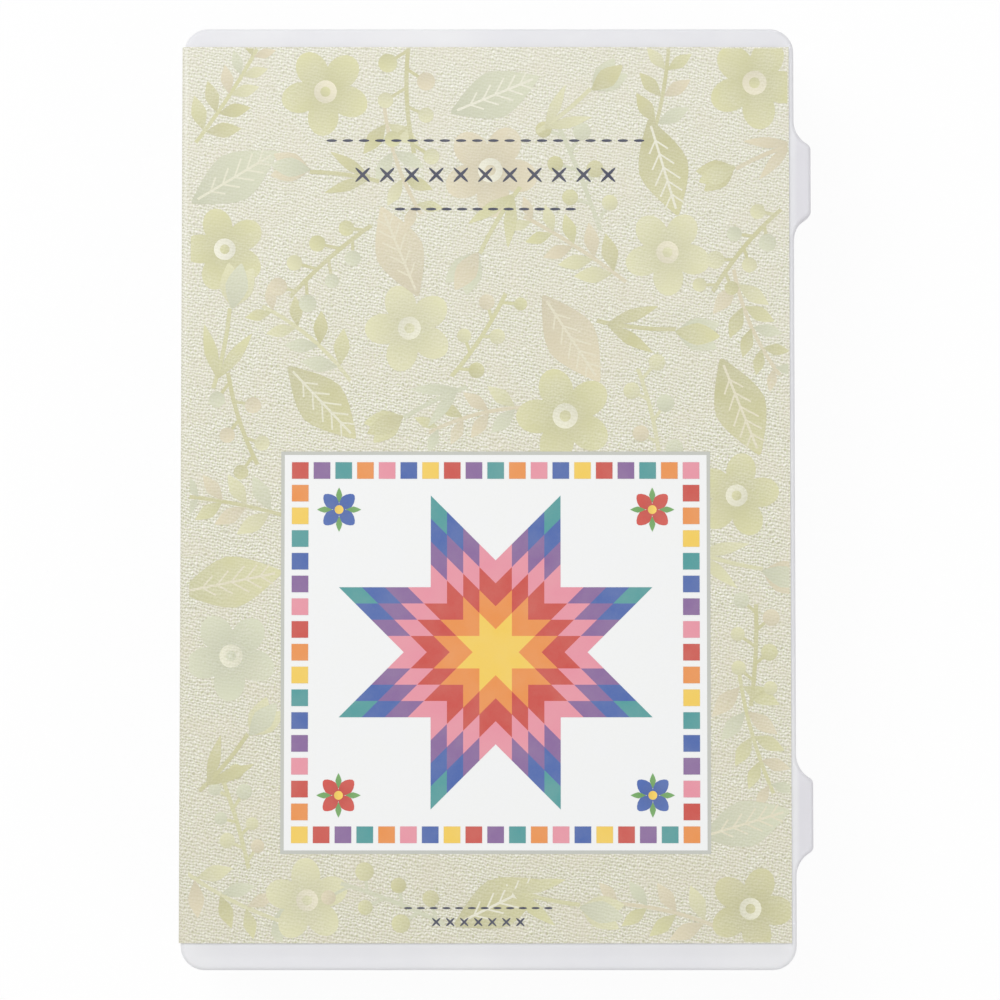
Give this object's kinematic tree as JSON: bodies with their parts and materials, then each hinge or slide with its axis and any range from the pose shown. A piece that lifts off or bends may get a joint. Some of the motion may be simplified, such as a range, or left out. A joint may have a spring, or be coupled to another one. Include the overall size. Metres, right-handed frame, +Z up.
{
  "type": "bobbin box",
  "caption": "Flat frosted plastic box with divided compartments of paper thread bobbins, a hinged lid with a ruled chart inside and a printed card outside, and two swinging latches.",
  "frame": {"origin": "middle of the underside, not counting latches, hinge knuckles and card flap", "axes": "+X along the length, -Y towards the latches, +Y towards the hinge, +Z up through the lid"},
  "size_m": [0.2728, 0.183, 0.0446],
  "materials": {
    "frosted_plastic": "satin",
    "latch_plastic": "satin",
    "pin_steel": "satin",
    "printed_card": "satin",
    "chart_paper": "matte",
    "bobbin_card": "matte"
  },
  "bodies": {
    "base": {"base_tray": "frosted_plastic", "hinge_pin_left": "pin_steel", "hinge_pin_right": "pin_steel", "bobbins_front_1": "bobbin_card", "bobbins_front_2": "bobbin_card", "bobbins_front_3": "bobbin_card", "bobbins_front_5": "bobbin_card", "bobbins_front_6": "bobbin_card", "bobbins_middle_1": "bobbin_card", "bobbins_middle_2": "bobbin_card", "bobbins_middle_3": "bobbin_card", "bobbins_long_4": "bobbin_card", "bobbins_middle_5": "bobbin_card", "bobbins_middle_6": "bobbin_card", "bobbins_rear_1": "bobbin_card", "bobbins_rear_2": "bobbin_card", "bobbins_rear_3": "bobbin_card", "bobbins_rear_4": "bobbin_card", "bobbins_rear_5": "bobbin_card", "bobbins_rear_6": "bobbin_card"},
    "lid": {"lid": "frosted_plastic", "printed_card": "printed_card", "reference_chart": "chart_paper"},
    "left_latch": {"latch_clip_left": "latch_plastic"},
    "right_latch": {"latch_clip_right": "latch_plastic"}
  },
  "joints": [
    {"name": "lid_hinge", "type": "hinge", "parent": "base", "child": "lid", "pos_m": [0, 0.0877, 0.035], "axis": [-1, 0, 0], "range_deg": [0, 110]},
    {"name": "left_latch_hinge", "type": "hinge", "parent": "lid", "child": "left_latch", "pos_m": [-0.092, -0.0913, 0.0398], "axis": [-1, 0, 0], "range_deg": [0, 80]},
    {"name": "right_latch_hinge", "type": "hinge", "parent": "lid", "child": "right_latch", "pos_m": [0.092, -0.0913, 0.0398], "axis": [-1, 0, 0], "range_deg": [0, 80]}
  ]
}
